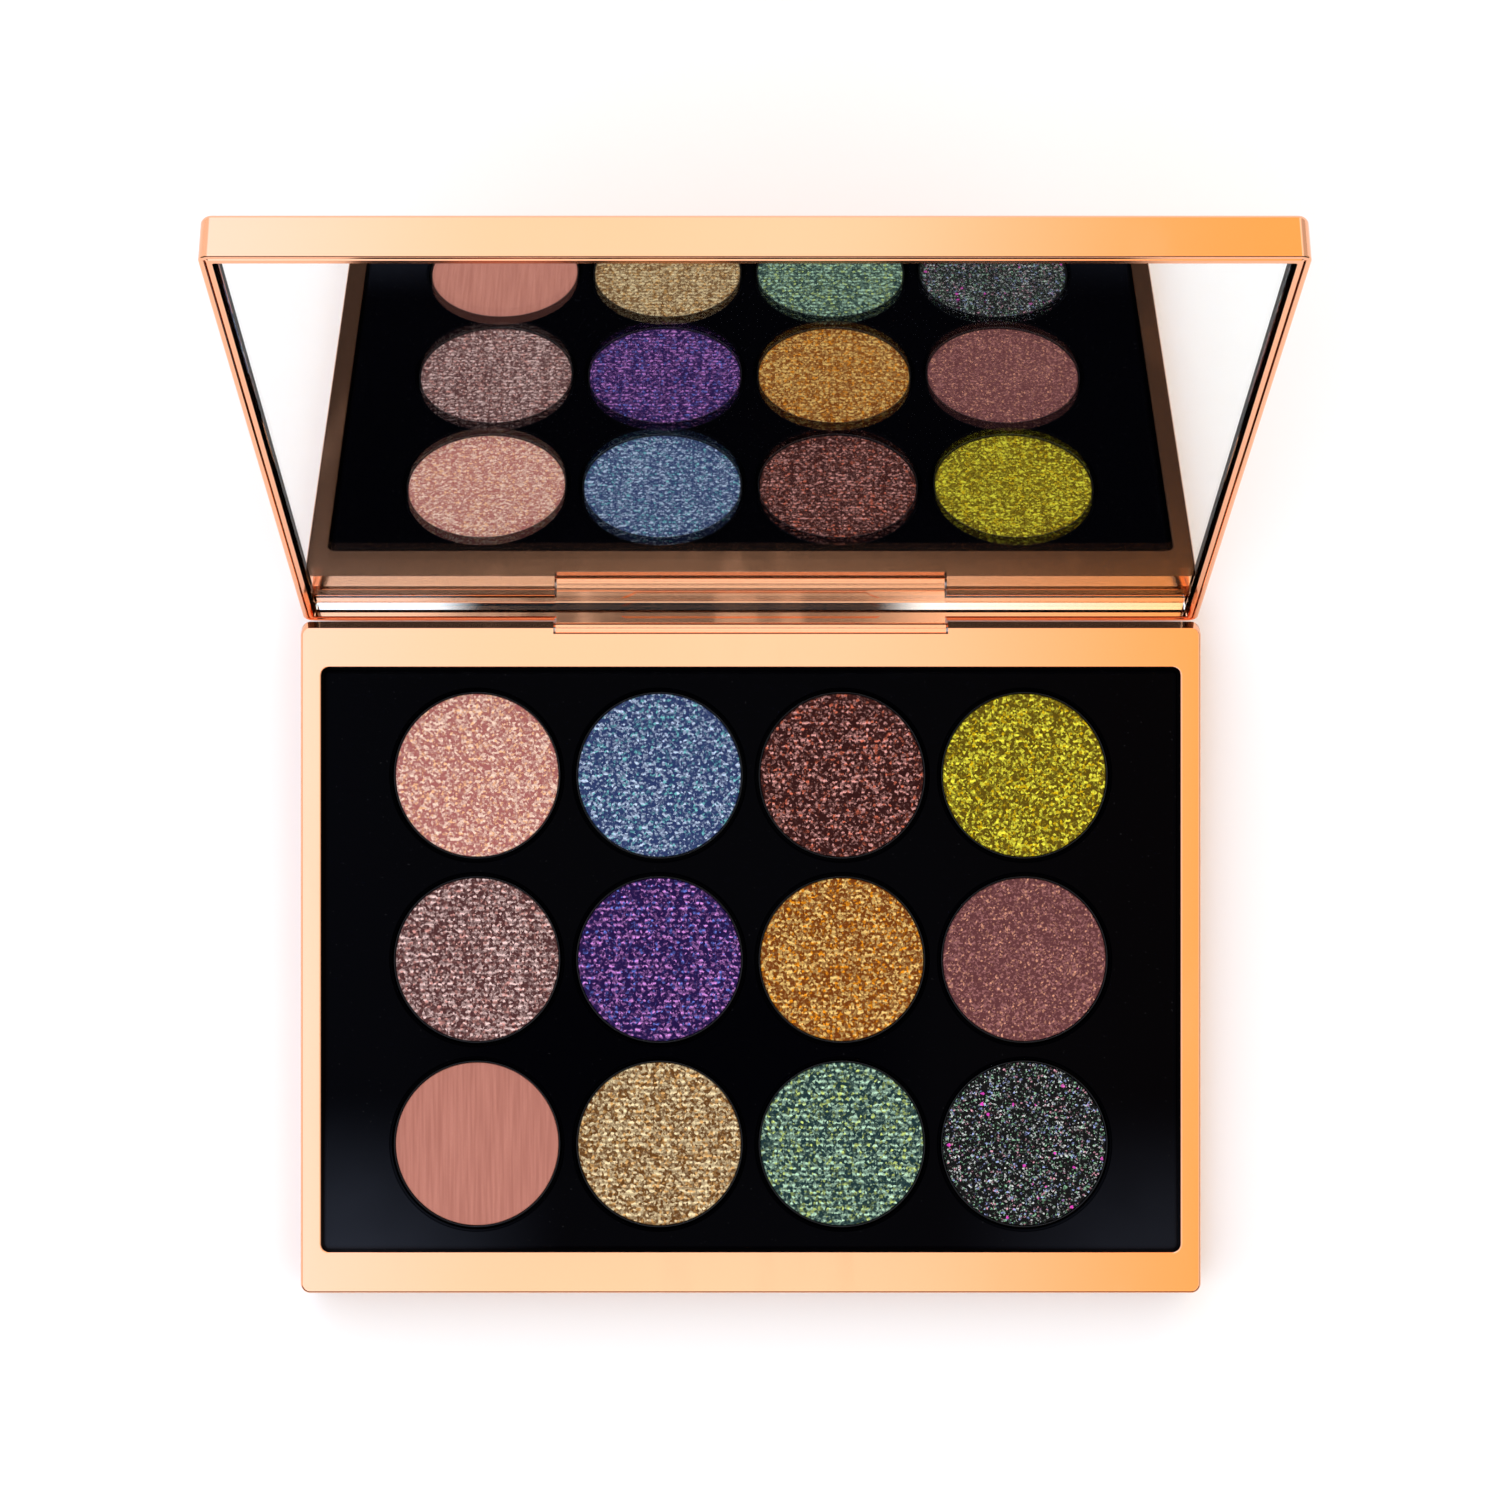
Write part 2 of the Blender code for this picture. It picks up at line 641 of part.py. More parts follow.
def lid_frame(turn):
    """Gold inner frame: a lip round the mirror, a web behind it, and the hinge knuckle."""
    body = outline(FRAME_WIDTH, FRAME_DEPTH, CORNER_RADIUS - COVER_WALL - GAP)
    frame = place("lid_frame", stack([(body, LID_FOOT), (body, WEB_BACK)]), gold(), turn)
    join(frame, "knuckle", extrusion(knuckle_profile(), KNUCKLE_WIDTH / 2))
    recess = outline(BASE_WIDTH - 2 * RIM, BASE_DEPTH - 2 * RIM, RECESS_RADIUS)
    cut(frame, "mirror_recess", stack([(recess, LID_FOOT - PAST), (recess, WEB_FACE)]))

    bores = bmesh.new()
    depth = PIN_LENGTH / 2 + PIN_CLEARANCE
    for side in (-1, 1):
        ends = sorted((side * (NOTCH_WIDTH / 2 - depth), side * (KNUCKLE_WIDTH / 2 + PAST)))
        rod(BORE_RADIUS, ends[0], ends[1], bores)
    cut(frame, "knuckle_bores", bores)
    cut(frame, "knuckle_pocket", knuckle_pocket())

    # In front, half a gap keeps each magnet's pocket clear of the lip's own face.
    pockets = bmesh.new()
    for x in (-MAGNET_OFFSET_X, MAGNET_OFFSET_X):
        box(
            (
                x - MAGNET_LENGTH / 2 - GAP,
                MAGNET_Y - MAGNET_DEPTH / 2 - GAP / 2,
                WEB_FACE - PAST,
            ),
            (
                x + MAGNET_LENGTH / 2 + GAP,
                MAGNET_Y + MAGNET_DEPTH / 2 + GAP,
                WEB_BACK + PAST,
            ),
            pockets,
        )
    cut(frame, "magnet_pockets", pockets)


def knuckle_pocket():
    """Shallow tapered recess in the knuckle's inner face, wide beside the mirror."""
    front = ARM_INNER - PAST
    back = ARM_INNER + POCKET_DEPTH
    low = LID_FOOT - POCKET_HEIGHT
    high = LID_FOOT
    bm = bmesh.new()
    ends = []
    for y in (front, back):
        corners = [
            (-POCKET_NARROW / 2, low),
            (POCKET_NARROW / 2, low),
            (POCKET_WIDE / 2, high),
            (-POCKET_WIDE / 2, high),
        ]
        ends.append([bm.verts.new((x, y, z)) for x, z in corners])
    for i in range(4):
        j = (i + 1) % 4
        bm.faces.new((ends[0][i], ends[0][j], ends[1][j], ends[1][i]))
    bm.faces.new(ends[0][::-1])
    bm.faces.new(ends[1])
    return bm


def mirror_and_tape(turn):
    """Bevelled glass, and the tape that bonds it to the frame's web."""
    whole = outline(MIRROR_WIDTH, MIRROR_DEPTH, RECESS_RADIUS)
    bevelled = outline(
        MIRROR_WIDTH - 2 * MIRROR_BEVEL,
        MIRROR_DEPTH - 2 * MIRROR_BEVEL,
        RECESS_RADIUS - MIRROR_BEVEL,
    )
    glass = [
        (bevelled, MIRROR_FACE),
        (whole, MIRROR_FACE + MIRROR_BEVEL),
        (whole, MIRROR_FACE + MIRROR_THICKNESS),
    ]
    place("mirror", stack(glass), material("mirror_glass", (0.92, 0.94, 0.94), 0.02, 1.0), turn)
    taped = outline(
        MIRROR_WIDTH - 2 * TAPE_INSET, MIRROR_DEPTH - 2 * TAPE_INSET, RECESS_RADIUS
    )
    tape = stack([(taped, TAPE_FACE), (taped, TAPE_FACE + TAPE_THICKNESS)])
    place("mirror_tape", tape, material("foam_tape", (0.75, 0.74, 0.70), 0.8), turn)


def build():
    clear_scene()
    base_frame()
    base_bottom()
    underside_label()
    pan_tray()
    pans_and_powders()
    turn = lid_turn()
    lid_cover(turn)
    lid_frame(turn)
    mirror_and_tape(turn)
    for side, word in ((-1, "left"), (1, "right")):
        x = side * MAGNET_OFFSET_X
        magnet(f"base_magnet_{word}", x, BASE_MAGNET_FOOT, BASE_MAGNET_THICKNESS)
        magnet(f"lid_magnet_{word}", x, WEB_FACE, FRAME_WEB, turn)
        hinge_pin(f"hinge_pin_{word}", side)


build()
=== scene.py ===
# %% [markdown]
# # A twelve-pan eyeshadow palette
# The palette is a shallow gold box with a mirror in its lid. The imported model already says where
# every piece is and how the lid turns, so this lesson only makes the surfaces: smooth rounded
# mouldings, a polished black tray, thin metal pans, and twelve cakes of pressed powder.

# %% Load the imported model
import json
import math

import bmesh
import bpy
import numpy as np
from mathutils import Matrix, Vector


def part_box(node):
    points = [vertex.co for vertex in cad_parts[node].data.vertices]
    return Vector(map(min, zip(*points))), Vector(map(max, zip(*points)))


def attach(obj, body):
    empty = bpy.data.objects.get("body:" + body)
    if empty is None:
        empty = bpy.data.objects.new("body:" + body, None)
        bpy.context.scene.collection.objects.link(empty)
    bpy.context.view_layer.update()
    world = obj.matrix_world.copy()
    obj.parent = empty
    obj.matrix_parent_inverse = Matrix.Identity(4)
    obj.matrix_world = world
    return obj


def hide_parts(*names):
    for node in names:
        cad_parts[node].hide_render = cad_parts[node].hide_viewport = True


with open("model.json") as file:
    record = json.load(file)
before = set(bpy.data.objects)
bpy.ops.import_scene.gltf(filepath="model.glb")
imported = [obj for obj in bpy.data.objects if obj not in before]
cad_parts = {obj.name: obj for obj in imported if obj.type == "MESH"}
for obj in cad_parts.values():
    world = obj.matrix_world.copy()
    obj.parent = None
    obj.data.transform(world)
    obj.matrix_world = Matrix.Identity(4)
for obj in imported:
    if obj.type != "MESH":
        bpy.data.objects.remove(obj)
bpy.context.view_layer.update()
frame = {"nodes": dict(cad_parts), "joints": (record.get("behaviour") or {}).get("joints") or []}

MM = 0.001

# %% [markdown]
# ## The shut palette
# The lid stands open, leaning back from the base, which makes its sides awkward to describe. It is
# far easier to draw each lid piece shut, flat above the base, and then swing its points open about
# the hinge. The hinge's place and its travel come from the model's joint.

# %% Swing points between shut and open
hinge = frame["joints"][0]
AXIS = np.array(hinge["pos_m"], float)
OPEN_TURN = math.radians(-hinge["range_deg"][0])


def swing(points, turn):
    """Turns points about the hinge, which runs along X: y' = y cos t + z sin t, z' = z cos t - y sin t."""
    out = np.array(points, float)
    y = out[..., 1] - AXIS[1]
    z = out[..., 2] - AXIS[2]
    out[..., 1] = AXIS[1] + y * math.cos(turn) + z * math.sin(turn)
    out[..., 2] = AXIS[2] - y * math.sin(turn) + z * math.cos(turn)
    return out


def mesh_points(mesh):
    """All of a mesh's vertices as one array of rows."""
    flat = np.empty(len(mesh.vertices) * 3, np.float32)
    mesh.vertices.foreach_get("co", flat)
    return flat.reshape(-1, 3).astype(float)


def shut_box(node):
    """Lowest and highest corner of a lid node when the lid is shut."""
    points = swing(mesh_points(frame["nodes"][node].data), -OPEN_TURN)
    return points.min(0), points.max(0)


base_low, base_high = (np.array(v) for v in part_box("base_frame"))
tray_low, tray_high = (np.array(v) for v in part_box("pan_tray"))
cover_low, cover_high = shut_box("lid_cover")
_, inner_high = shut_box("lid_frame")
glass_low, glass_high = shut_box("mirror")
HALF_X = base_high[0]
HALF_Y = base_high[1]
DECK_TOP = base_high[2]
print("base", np.round(base_high * 1000, 2), "lid thickness", round((cover_high[2] - cover_low[2]) * 1000, 2))

# %% [markdown]
# ## The camera
# The view is from straight above the base, about half a metre up, through a short telephoto lens.
# The lens is shifted a little, as when a picture is cropped after it is taken, so the sides of the
# base stay square while the lid still leans away in perspective.

# %% Place the camera
CAMERA_HEIGHT = 478.0 * MM  # above the deck
lens = bpy.data.cameras.new("camera")
lens.lens = 73.8
lens.sensor_width = 36.0
lens.shift_x = 0.0109
lens.shift_y = 0.0635
camera = bpy.data.objects.new("camera", lens)
camera.location = (-2.66 * MM, 17.4 * MM, DECK_TOP + CAMERA_HEIGHT)
bpy.context.scene.collection.objects.link(camera)
bpy.context.scene.camera = camera
print("camera at", tuple(round(v, 4) for v in camera.location))

# %% [markdown]
# ## Sums with sockets
# A procedural material is arithmetic on numbers that vary over a surface. Wiring Math nodes by hand
# hides that arithmetic, so this small class lets a socket be used like a number. Colours go through
# Mix nodes instead, because a Math node would turn them grey.


# %% A socket that can be used in sums
class Wire:
    """An output socket. Sums with it add Math nodes to its material."""

    def __init__(self, tree, socket):
        self.tree = tree
        self.socket = socket

    def make(self, kind, settings, inputs, output=0):
        """Adds any node: its settings first, then the values or wires of its sockets."""
        node = self.tree.nodes.new(kind)
        for name, value in settings.items():
            setattr(node, name, value)
        for name, value in inputs.items():
            if isinstance(value, Wire):
                self.tree.links.new(value.socket, node.inputs[name])
            else:
                node.inputs[name].default_value = value
        return Wire(self.tree, node.outputs[output])

    def math(self, operation, first, second=0.0):
        return self.make("ShaderNodeMath", {"operation": operation}, {0: first, 1: second})

    def __add__(self, other):
        return self.math("ADD", self, other)

    def __sub__(self, other):
        return self.math("SUBTRACT", self, other)

    def __mul__(self, other):
        return self.math("MULTIPLY", self, other)

    def __pow__(self, other):
        return self.math("POWER", self, other)

    def __rsub__(self, other):
        return self.math("SUBTRACT", other, self)

    __radd__ = __add__
    __rmul__ = __mul__

    def between(self, low, high):
        """0 below low, 1 above high, and a smooth step from one to the other."""
        limits = {"Value": self, "From Min": low, "From Max": high}
        return self.make("ShaderNodeMapRange", {"interpolation_type": "SMOOTHSTEP"}, limits)

    def blend(self, first, second):
        """The first colour where this wire is 0 and the second where it is 1."""
        sockets = {0: self, 6: first, 7: second}
        return self.make("ShaderNodeMix", {"data_type": "RGBA"}, sockets, 2)

    def noise(self, scale, detail=2.0, roughness=0.5):
        """Soft noise from 0 to 1, with scale features to the metre."""
        inputs = {"Vector": self, "Scale": scale, "Detail": detail, "Roughness": roughness}
        return self.make("ShaderNodeTexNoise", {}, inputs)

    def part(self, axis):
        """One coordinate of a vector."""
        return self.make("ShaderNodeSeparateXYZ", {}, {"Vector": self}, "XYZ".index(axis))

    def stretched(self, x, y, z):
        """The same coordinates, scaled differently along each axis."""
        return self.make("ShaderNodeMapping", {}, {"Vector": self, "Scale": (x, y, z)})

    def bump(self, distance, strength=1.0):
        """A normal that follows this wire as a height of up to distance metres."""
        inputs = {"Height": self, "Distance": distance, "Strength": strength}
        return self.make("ShaderNodeBump", {}, inputs)


def linear(red, green, blue):
    """A screen colour from 0 to 255 as the linear colour that a shader takes."""
    share = np.array([red, green, blue]) / 255.0
    light = np.where(share <= 0.04045, share / 12.92, ((share + 0.055) / 1.055) ** 2.4)
    return (*[float(v) for v in light], 1.0)


SKY = 1.5  # brightness of the studio, where 1 shows as just white
ON_TOP = 1.3  # light that reaches a face looking up, on the same scale


def lit(red, green, blue, gain=1.0):
    """The surface colour that shows, looking up in the studio, as gain times a screen colour."""
    return (*[min(gain * v / ON_TOP, 1.0) for v in linear(red, green, blue)[:3]], 1.0)


def start_material(name):
    """A new Principled material, and its object coordinates as a wire."""
    made = bpy.data.materials.new(name)
    made.use_nodes = True
    tree = made.node_tree
    coordinates = tree.nodes.new("ShaderNodeTexCoord")
    return made, tree.nodes["Principled BSDF"], Wire(tree, coordinates.outputs["Object"])


def feed(shader, **sockets):
    """Sets the shader's sockets: a wire is linked, and a plain value is set on the socket."""
    for name, value in sockets.items():
        socket = shader.inputs[name.replace("_", " ")]
        if isinstance(value, Wire):
            value.tree.links.new(value.socket, socket)
        else:
            socket.default_value = value


# %% [markdown]
# ## Champagne gold
# The mouldings are plastic with a thin metal film under lacquer. The film is a true metal to the
# eye, so it is a metallic shader with a warm colour, which deepens to orange wherever one gold face
# reflects another. Moulded plastic is never quite flat, and hands leave faint smears, so the
# roughness wanders a little and the surface carries a very shallow waviness.


# %% Gold, black and metal finishes
def gold_finish():
    """Metal film: a warm metal whose roughness drifts with two sizes of noise."""
    made, shader, place = start_material("champagne_gold")
    cloud = place.noise(28.0, 3.0)
    grain = place.noise(2600.0, 2.0)
    smear = place.stretched(1.0, 0.25, 1.0).noise(120.0, 4.0).between(0.52, 0.74)
    feed(
        shader,
        Base_Color=cloud.blend((0.93, 0.465, 0.275, 1.0), (0.92, 0.440, 0.250, 1.0)),
        Metallic=1.0,
        Roughness=0.07 + 0.03 * cloud + 0.04 * smear + 0.02 * grain,
        Normal=(cloud + 0.05 * grain).bump(0.00004, 0.20),
    )
    return made


def black_finish():
    """Polished black plastic with dust and scuffs, and a painted reflection: a blue-grey sheen in the front
    corners.
    """
    made, shader, place = start_material("black_gloss")
    scuff = place.stretched(1.0, 0.08, 1.0).noise(900.0, 3.0).between(0.62, 0.80)
    dust = place.noise(1900.0, 1.0).between(0.74, 0.80)
    # Painted reflection: a blue-grey sheen painted into the base colour towards the front corners, stronger
    # on the left.
    front = 1.0 - place.part("Y").between(-0.052, -0.020)
    left = 1.0 - place.part("X").between(-0.064, -0.028)
    right = place.part("X").between(0.028, 0.064)
    painted_sheen = front * (left + 0.5 * right) * (0.6 + 0.6 * place.noise(70.0, 2.0))
    black_with_sheen = painted_sheen.blend(lit(3, 3, 6), lit(46, 50, 60))
    dust_and_sheen = dust.blend(black_with_sheen, lit(30, 30, 32))
    feed(
        shader,
        Base_Color=dust_and_sheen,
        Roughness=0.06 + 0.10 * scuff + 0.25 * dust,
        Normal=place.noise(45.0, 2.0).bump(0.00003, 0.2),
    )
    shader.inputs["Specular IOR Level"].default_value = 0.01
    return made


def metal_finish(name, colour, roughness):
    """Drawn or stamped metal: fine lines along X over a slow change in roughness."""
    made, shader, place = start_material(name)
    lines = place.stretched(0.06, 1.0, 1.0).noise(3200.0, 2.0)
    cloud = place.noise(160.0, 2.0)
    feed(
        shader,
        Base_Color=cloud.blend(colour, tuple(0.86 * v for v in colour[:3]) + (1.0,)),
        Metallic=1.0,
        Roughness=roughness + 0.10 * cloud + 0.06 * lines,
        Normal=lines.bump(0.00002, 0.3),
    )
    return made


def soft_finish(name, light, dark, size, roughness):
    """Paper, foam or glue: a matt blend of two close colours with a matching bump."""
    made, shader, place = start_material(name)
    fibre = place.noise(size, 5.0, 0.65)
    feed(
        shader,
        Base_Color=fibre.blend(light, dark),
        Roughness=roughness + 0.08 * fibre,
        Normal=fibre.bump(0.00004, 0.5),
    )
    return made


def silver_finish():
    """The silver behind the glass: nearly perfect reflection, a little uneven."""
    made, shader, place = start_material("mirror_glass")
    cloud = place.noise(60.0, 3.0)
    feed(
        shader,
        Base_Color=cloud.blend(linear(250, 251, 251), linear(246, 248, 248)),
        Metallic=1.0,
        Roughness=0.008 + 0.006 * cloud,
    )
    return made


def glass_finish():
    """Clear glass, very slightly green, with the faintest haze from wiping."""
    made, shader, place = start_material("clear_glass")
    wipe = place.stretched(1.0, 0.2, 0.2).noise(60.0, 4.0).between(0.60, 0.85)
    feed(
        shader,
        Base_Color=wipe.blend((0.992, 1.0, 0.996, 1.0), (0.982, 0.992, 0.988, 1.0)),
        Roughness=0.004 * wipe,
    )
    shader.inputs["Transmission Weight"].default_value = 1.0
    shader.inputs["IOR"].default_value = 1.5
    return made


gold = gold_finish()
black = black_finish()
# The pans' metal is given a dark grey colour, much darker than bare tinplate, so their rims show as a thin
# dark ring.
tinplate = metal_finish("pan_tinplate", lit(46, 47, 50), 0.34)
pin_steel = metal_finish("pin_steel", linear(190, 190, 194), 0.24)
magnet_nickel = metal_finish("magnet_nickel", linear(205, 203, 198), 0.18)
silver = silver_finish()
clear_glass = glass_finish()
paper = soft_finish("label", linear(232, 230, 224), linear(222, 219, 211), 700.0, 0.7)
foam = soft_finish("foam_tape", linear(224, 222, 214), linear(206, 203, 194), 1500.0, 0.8)
glue = soft_finish("glue", linear(222, 214, 192), linear(208, 198, 172), 240.0, 0.35)
print("plain finishes:", len(bpy.data.materials))

# %% [markdown]
# ## Surfaces from rows of points
# Nearly every moulding here is a rounded rectangle that changes as it goes: out, up, round an edge
# and in again. So a piece is a grid. Each row is one rounded rectangle, and the rows are joined one
# to the next. A ring, such as the deck round the tray, also joins its last row to its first.

# %% Rounded rectangles and skins
CORNER_STEPS = 12
EDGE_STEPS = 8
SHARP_ANGLE = math.radians(38)


def rounded_rows(half_x, low_y, high_y, radius, height):
    """One rounded rectangle per row: each corner's centre, plus radius times (cos t, sin t)."""
    half_x, low_y, high_y, radius, height = (
        np.atleast_1d(np.asarray(v, float))[:, None]
        for v in np.broadcast_arrays(half_x, low_y, high_y, radius, height)
    )
    quarter = np.repeat(np.arange(4), CORNER_STEPS + 1)[None, :]
    turn = math.pi / 2 * (quarter + np.tile(np.linspace(0, 1, CORNER_STEPS + 1), 4)[None, :])
    side = np.where((quarter == 0) | (quarter == 3), 1.0, -1.0)
    back = quarter < 2
    x = side * (half_x - radius) + radius * np.cos(turn)
    y = np.where(back, high_y - radius, low_y + radius) + radius * np.sin(turn)
    return np.stack([x, y, np.broadcast_to(height, x.shape)], axis=-1)


def grid_faces(rows, columns, ring):
    """Corner numbers of every quad between neighbouring rows, wrapping round each row."""
    row = np.arange(rows if ring else rows - 1)[:, None]
    column = np.arange(columns)[None, :]
    after = (row + 1) % rows
    right = (column + 1) % columns
    quads = np.stack(
        [row * columns + column, row * columns + right, after * columns + right, after * columns + column],
        axis=-1,
    )
    return quads.reshape(-1, 4)


def solid(name, points, faces, finish):
    """A closed mesh object with its faces turned out and its rounded edges shaded smooth."""
    mesh = bpy.data.meshes.new(name)
    mesh.from_pydata(points.reshape(-1, 3).tolist(), [], faces)
    shell = bmesh.new()
    shell.from_mesh(mesh)
    bmesh.ops.recalc_face_normals(shell, faces=shell.faces)
    shell.to_mesh(mesh)
    shell.free()
    mesh.materials.append(finish)
    mesh.shade_smooth()
    mesh.set_sharp_from_angle(angle=SHARP_ANGLE)
    made = bpy.data.objects.new(name, mesh)
    bpy.context.scene.collection.objects.link(made)
    return made


def skin(name, rows, finish, ring=False):
    """A closed piece through rows of points, with a flat face over each end unless it is a ring."""
    count, columns = rows.shape[:2]
    faces = grid_faces(count, columns, ring).tolist()
    if not ring:
        faces.append(list(range(columns))[::-1])
        faces.append(list(range((count - 1) * columns, count * columns)))
    return solid(name, rows, faces, finish)


def settle(piece):
    """Makes a piece's modifiers permanent and marks its sharp edges again."""
    bpy.context.view_layer.update()
    graph = bpy.context.evaluated_depsgraph_get()
    final = bpy.data.meshes.new_from_object(piece.evaluated_get(graph))
    piece.modifiers.clear()
    old = piece.data
    piece.data = final
    final.name = piece.name
    bpy.data.meshes.remove(old)
    final.shade_smooth()
    final.set_sharp_from_angle(angle=SHARP_ANGLE)
    return piece


def shade_flats(piece):
    """Shades flat faces flat right up to their rounded edges, by weighting normals by area."""
    shading = piece.modifiers.new("flat_faces", "WEIGHTED_NORMAL")
    shading.keep_sharp = True
    shading.weight = 100
    bpy.context.view_layer.update()
    graph = bpy.context.evaluated_depsgraph_get()
    shaded = bpy.data.meshes.new_from_object(piece.evaluated_get(graph))
    piece.modifiers.clear()
    old = piece.data
    piece.data = shaded
    shaded.name = piece.name
    bpy.data.meshes.remove(old)


def shape_with(piece, helper, operation):
    """Joins a helper solid to a piece or cuts it away, then removes the helper."""
    modifier = piece.modifiers.new(helper.name, "BOOLEAN")
    modifier.operation = operation
    modifier.object = helper
    settle(piece)
    bpy.data.objects.remove(helper)
    return piece


def edge_arc(radius):
    """How far in and how far below the top a quarter-round edge is, from its wall to its face."""
    turn = np.linspace(0, math.pi / 2, EDGE_STEPS + 1)
    return radius * (1 - np.cos(turn)), radius * (1 - np.sin(turn))


def across(profile, half_width, name):
    """A (y, z) profile carried along X, the same distance each way."""
    flat = np.asarray(profile, float)
    ends = [np.column_stack([np.full(len(flat), x), flat]) for x in (-half_width, half_width)]
    return skin(name, np.stack(ends), gold)


def block(low, high, name):
    """A plain box between two corners, for cutting."""
    x0, y0, z0 = low
    x1, y1, z1 = high
    plan = np.array([[x0, y0], [x1, y0], [x1, y1], [x0, y1]])
    rows = np.stack([np.column_stack([plan, np.full(4, z)]) for z in (z0, z1)])
    return skin(name, rows, gold)


def arc(centre, radius, start, end, steps=40):
    """Points of a circle's arc in (y, z), between two angles in degrees from +Y."""
    turn = np.radians(np.linspace(start, end, steps + 1))
    return np.column_stack([centre[0] + radius * np.cos(turn), centre[1] + radius * np.sin(turn)])


print("columns in a row of points:", 4 * (CORNER_STEPS + 1))

# %% [markdown]
# ## The base frame
# This is the bright gold surround. Its section goes up the outer wall, round a small edge, across
# the deck and down beside the tray, then back under the deck and down the inside of the wall. The
# rear edge is rounder than the others, because the lid's rim rolls past it.

# %% Make the base frame
GAP = 0.3 * MM
CORNER = 1.5 * MM
OPENING_CORNER = 1.3 * MM
FRAME_EDGE = 0.45 * MM
REAR_BEVEL = 1.1 * MM
OPENING_EDGE = 0.25 * MM
WALL = 1.6 * MM
DECK = 1.5 * MM
TRAY_FLANGE = 1.0 * MM

opening_x = tray_high[0] - TRAY_FLANGE
opening_low = tray_low[1] + TRAY_FLANGE
opening_high = tray_high[1] - TRAY_FLANGE
foot = base_low[2]


def rolled(radius, depth):
    """How far a rounded edge has drawn in at a depth below its top: r minus root(r^2 - (r-d)^2)."""
    rise = np.clip(radius - depth, 0, radius)
    return radius - np.sqrt(radius**2 - rise**2)


def frame_rows():
    """The frame's section as rows: outer wall, edge, deck, opening, under the deck, inner wall."""
    depth = np.unique(np.append(edge_arc(FRAME_EDGE)[1], REAR_BEVEL))[::-1]
    side = rolled(FRAME_EDGE, depth)
    rear = np.clip(REAR_BEVEL - depth, 0, None)
    outer = rounded_rows(
        HALF_X - side, -HALF_Y + side, HALF_Y - rear, CORNER - side, DECK_TOP - depth
    )
    start = rounded_rows(HALF_X, -HALF_Y, HALF_Y, CORNER, foot)
    run_in, drop = edge_arc(OPENING_EDGE)
    run_in = run_in[::-1]
    drop = drop[::-1]
    opening = rounded_rows(
        opening_x + run_in,
        opening_low - run_in,
        opening_high + run_in,
        OPENING_CORNER + run_in,
        DECK_TOP - drop,
    )
    under = rounded_rows(
        opening_x, opening_low, opening_high, OPENING_CORNER, DECK_TOP - DECK
    )
    inner_height = np.array([DECK_TOP - DECK, foot])
    inner = rounded_rows(
        HALF_X - WALL, -HALF_Y + WALL, HALF_Y - WALL, CORNER / 2, inner_height
    )
    return np.concatenate([start, outer, opening, under, inner])


base_frame = skin("gold_base_frame", frame_rows(), gold, ring=True)
print("base frame faces:", len(base_frame.data.polygons))

# %% [markdown]
# ## The hinge in the base
# The lid's knuckle turns in a notch in the rear edge. Round the notch, under the deck, is a solid
# block that holds the two pins. Adding the block and cutting the notch are jobs for Booleans,
# because a notch interrupts the rows that the rest of the frame is made from.

# %% Add the hinge block and cut the notch
BARREL = 1.3 * MM
RIM = 1.7 * MM
HOUSING_WALL = 1.1 * MM
EAR = 8.5 * MM
PAST = 1.0 * MM
LEAN = OPEN_TURN - math.pi / 2
bed = BARREL + GAP
knuckle_half = 30.4 * MM
notch_half = knuckle_half + GAP
housing_reach = bed + HOUSING_WALL

housing = block(
    (-notch_half - EAR, AXIS[1] - housing_reach, AXIS[2] - housing_reach),
    (notch_half + EAR, HALF_Y - WALL / 2, DECK_TOP - DECK / 2),
    "housing",
)
shape_with(base_frame, housing, "UNION")

slot_front = HALF_Y - RIM - GAP
bed_start = math.degrees(math.acos((slot_front - AXIS[1]) / bed))
behind = HALF_Y + PAST
sill_end = AXIS[2] - bed / math.cos(LEAN) - (behind - AXIS[1]) * math.tan(LEAN)
notch_profile = np.concatenate(
    [
        [[slot_front, DECK_TOP + PAST]],
        arc(AXIS[1:], bed, bed_start, 270 - math.degrees(LEAN)),
        [[behind, sill_end], [behind, DECK_TOP + PAST]],
    ]
)
shape_with(base_frame, across(notch_profile, notch_half, "notch"), "DIFFERENCE")
shade_flats(base_frame)
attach(base_frame, "base")
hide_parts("base_frame")
print("base frame with its notch:", len(base_frame.data.polygons), "faces")

# %% [markdown]
# ## Wells, pans and the black tray
# The tray is one polished moulding. Its face has a softly rounded border, and each well has a small
# rounded lip that catches a thin line of light. A well is round, so its cutter is a turned profile:
# wide at the top, curving in to the well's wall. In each well sits a thin metal pan.

# %% Turned pieces
TURN_STEPS = 128


def turned_rows(radius, height, centre):
    """A profile turned about an upright axis: x = r cos t, y = r sin t, for each (r, height)."""
    turn = np.linspace(0, 2 * math.pi, TURN_STEPS, endpoint=False)[None, :]
    radius = np.asarray(radius, float)[:, None]
    height = np.asarray(height, float)[:, None]
    x = centre[0] + radius * np.cos(turn)
    y = centre[1] + radius * np.sin(turn)
    return np.stack([x, y, np.broadcast_to(height, x.shape)], axis=-1)


pan_nodes = sorted(n for n in frame["nodes"] if n.startswith("pan_r"))
pan_boxes = {n: [np.array(v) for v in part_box(n)] for n in pan_nodes}
PAN_RADIUS = (pan_boxes[pan_nodes[0]][1][0] - pan_boxes[pan_nodes[0]][0][0]) / 2
centres = {n: (low + high)[:2] / 2 for n, (low, high) in pan_boxes.items()}
print("pans:", len(pan_nodes), "radius mm:", round(PAN_RADIUS * 1000, 2))

